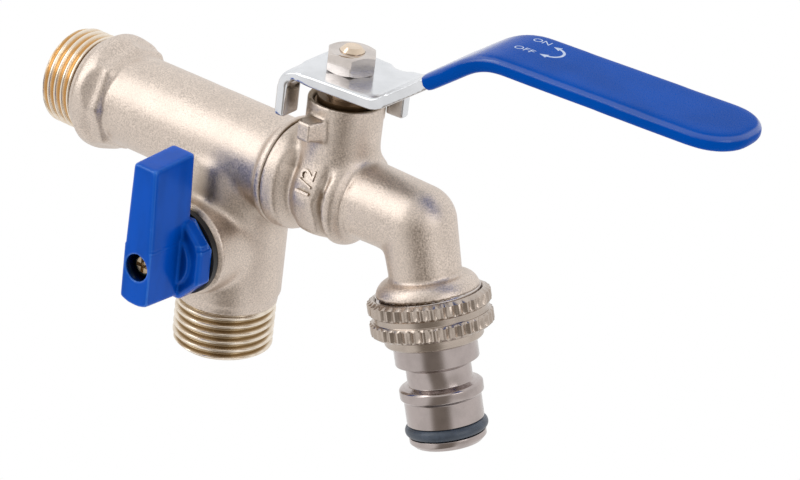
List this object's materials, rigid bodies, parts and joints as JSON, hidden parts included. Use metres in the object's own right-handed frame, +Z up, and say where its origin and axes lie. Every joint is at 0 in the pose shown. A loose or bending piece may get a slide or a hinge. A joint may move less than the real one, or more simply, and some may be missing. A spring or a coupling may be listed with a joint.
{
  "type": "two-way hose tap",
  "caption": "Lever ball tap on a pipe tee with a bent spout, knurled hose union and quick-fit nipple, and a threaded side branch shut by its own small handle.",
  "frame": {"origin": "centre of the inlet's end face, on the pipe's axis", "axes": "+X along the pipe from the inlet to the spout, +Z up, the branch handle faces -Y"},
  "size_m": [0.1583, 0.0457, 0.0859],
  "materials": {
    "forged_nickel": "sand-blasted, nickel-plated forging",
    "turned_nickel": "bright turned, nickel-plated",
    "bare_brass": "turned, bare",
    "plated_stem": "turned, nickel-plated",
    "valve_ball": "polished, chrome-plated",
    "soft_seat": "smooth white seal plastic",
    "zinc_steel": "bright zinc-plated",
    "screw_steel": "bright plated",
    "blue_sleeve": "satin dipped soft plastic",
    "blue_plastic": "glossy moulded",
    "black_rubber": "matt",
    "ring_rubber": "smooth, lightly greased"
  },
  "bodies": {
    "body": {"tee_body": "forged_nickel", "tap_body": "forged_nickel", "rear_seat": "soft_seat", "front_seat": "soft_seat", "thrust_washer": "soft_seat", "stem_packing": "soft_seat", "gland_nut": "bare_brass", "branch_upper_seat": "soft_seat", "branch_lower_seat": "soft_seat", "branch_retainer": "bare_brass", "dust_washer": "black_rubber"},
    "lever": {"lever": "zinc_steel", "lever_sleeve": "blue_sleeve", "lever_nut": "zinc_steel", "main_stem": "plated_stem", "main_ball": "valve_ball"},
    "branch_handle": {"branch_handle": "blue_plastic", "handle_screw": "screw_steel", "branch_stem": "bare_brass", "branch_ball": "valve_ball", "branch_seal_inner": "ring_rubber", "branch_seal_outer": "ring_rubber"},
    "hose_nipple": {"hose_nipple": "turned_nickel", "nipple_ring": "ring_rubber", "union_washer": "black_rubber"},
    "union_nut": {"union_nut": "turned_nickel"}
  },
  "joints": [
    {"name": "lever_turn", "type": "hinge", "parent": "body", "child": "lever", "pos_m": [0.072, 0, 0.025], "axis": [0, 0, 1], "range_deg": [-95, 0]},
    {"name": "branch_turn", "type": "hinge", "parent": "body", "child": "branch_handle", "pos_m": [0.047, -0.02, -0.0186], "axis": [0, 1, 0], "range_deg": [0, 90]},
    {"name": "union_draw", "type": "slide", "parent": "body", "child": "hose_nipple", "axis": [0.319, 0, -0.9478], "range_m": [0, 0.0045]},
    {"name": "union_spin", "type": "hinge", "parent": "hose_nipple", "child": "union_nut", "pos_m": [0.09854, 0, -0.01646], "axis": [0.319, 0, -0.9478], "range_deg": [0, 905]}
  ],
  "couplings": [
    {"joint": "union_spin", "follows": "union_draw", "rad_per_m": 3463.7}
  ]
}
